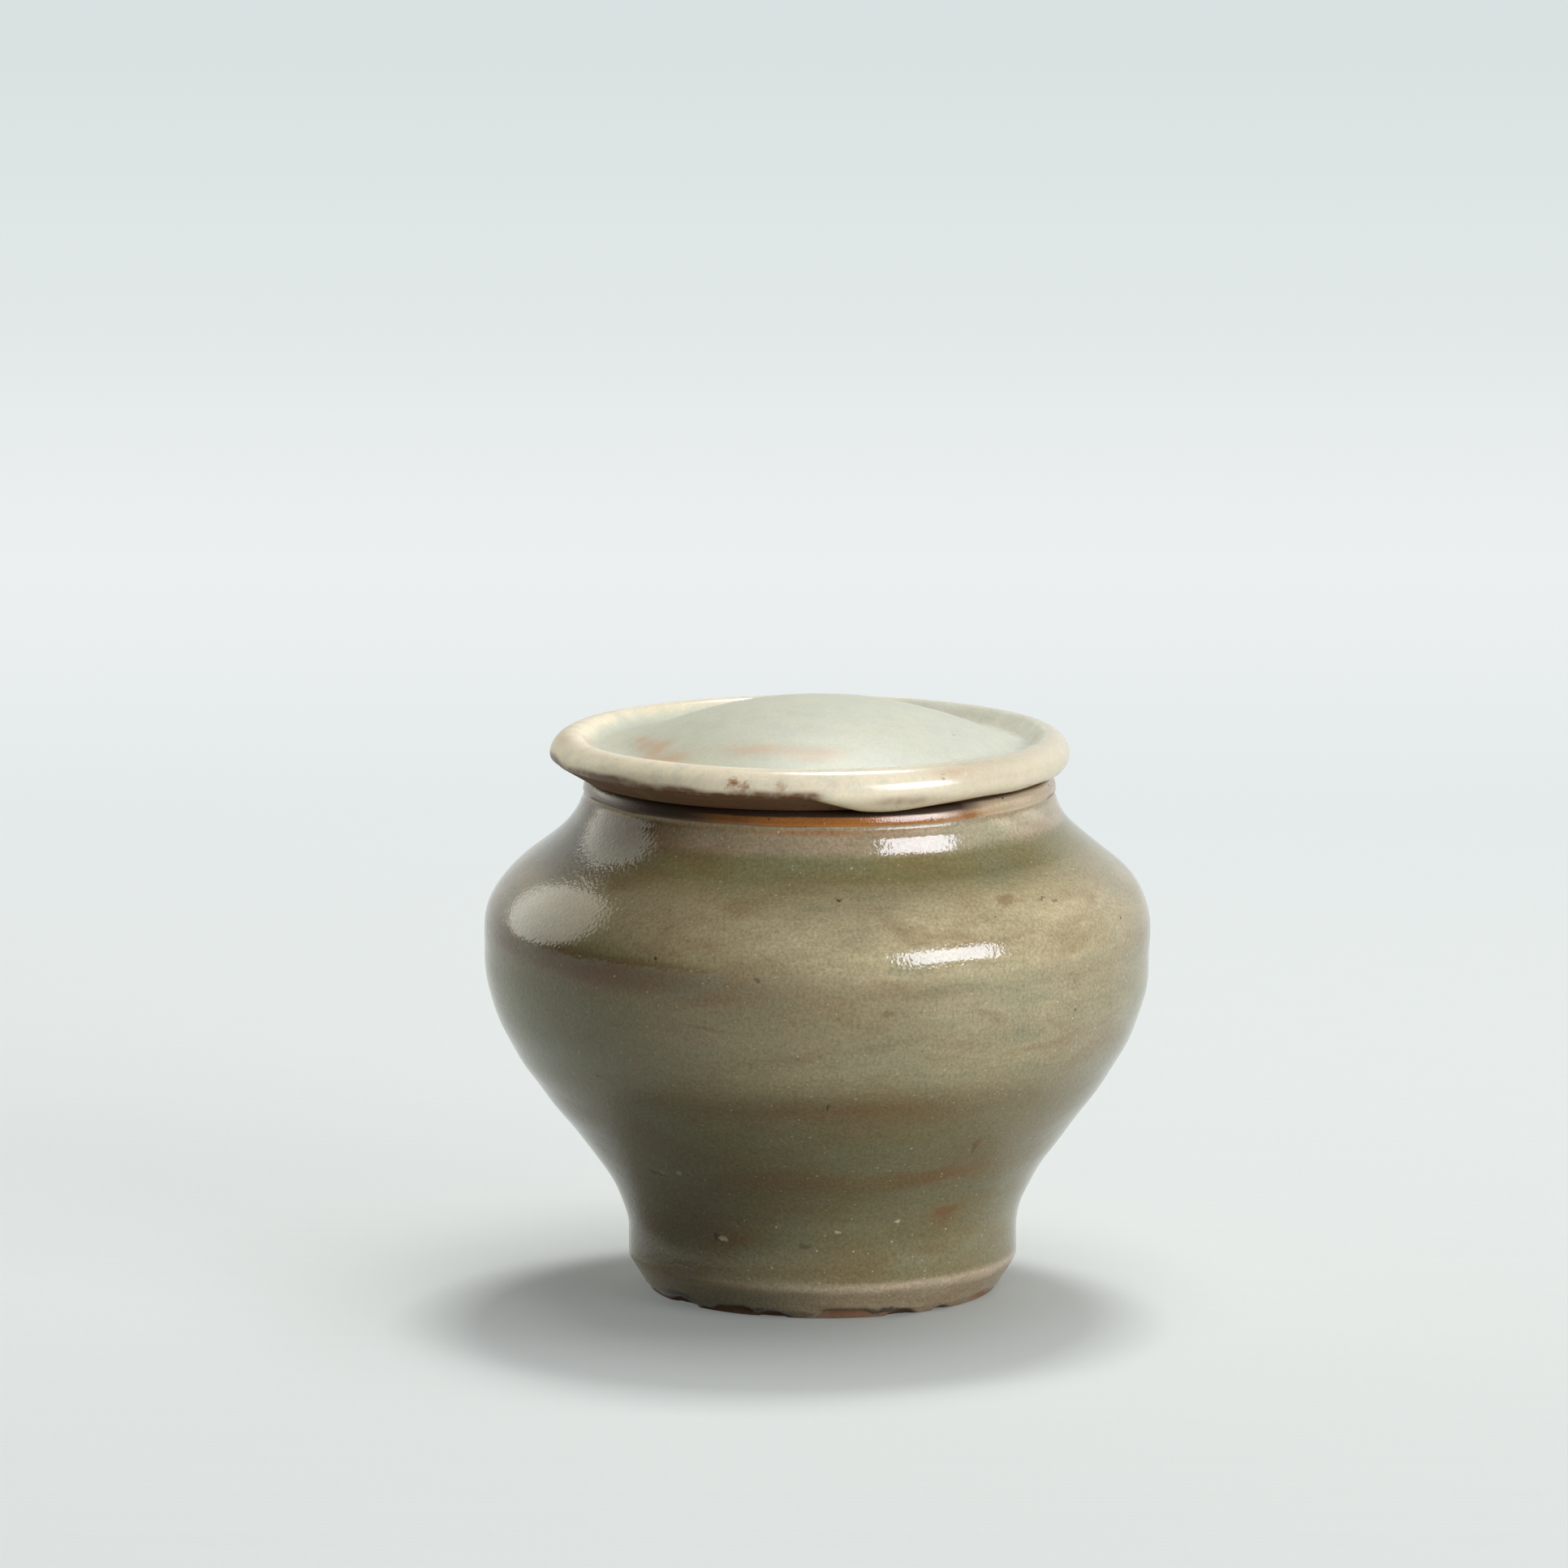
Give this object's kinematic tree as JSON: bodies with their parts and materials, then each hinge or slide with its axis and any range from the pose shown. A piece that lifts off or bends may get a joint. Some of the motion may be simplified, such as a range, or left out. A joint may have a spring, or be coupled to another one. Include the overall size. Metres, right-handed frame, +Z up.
{
  "type": "lidded jar",
  "caption": "Small squat jar of celadon-glazed stoneware on a narrow foot, with a domed drop-in lid that lifts off.",
  "frame": {"origin": "centre of the foot, on the ground", "axes": "+Z up along the jar's axis, -Y to the front of the picture, +X to its right"},
  "size_m": [0.0882, 0.0882, 0.0787],
  "materials": {
    "stoneware": "bare fired stoneware, orange brown",
    "celadon_glaze": "glossy grey-green celadon glaze",
    "inner_glaze": "glossy thin celadon glaze",
    "lid_stoneware": "bare fired stoneware, brownish pink",
    "lid_glaze": "glossy pale green celadon glaze"
  },
  "bodies": {
    "jar": {"jar_body": "stoneware", "jar_glaze_outside": "celadon_glaze", "jar_glaze_inside": "inner_glaze"},
    "lid": {"lid_body": "lid_stoneware", "lid_glaze": "lid_glaze"}
  },
  "joints": [
    {"name": "lid_lift", "type": "slide", "parent": "jar", "child": "lid", "axis": [0, 0, 1], "range_m": [0, 0.08]}
  ]
}
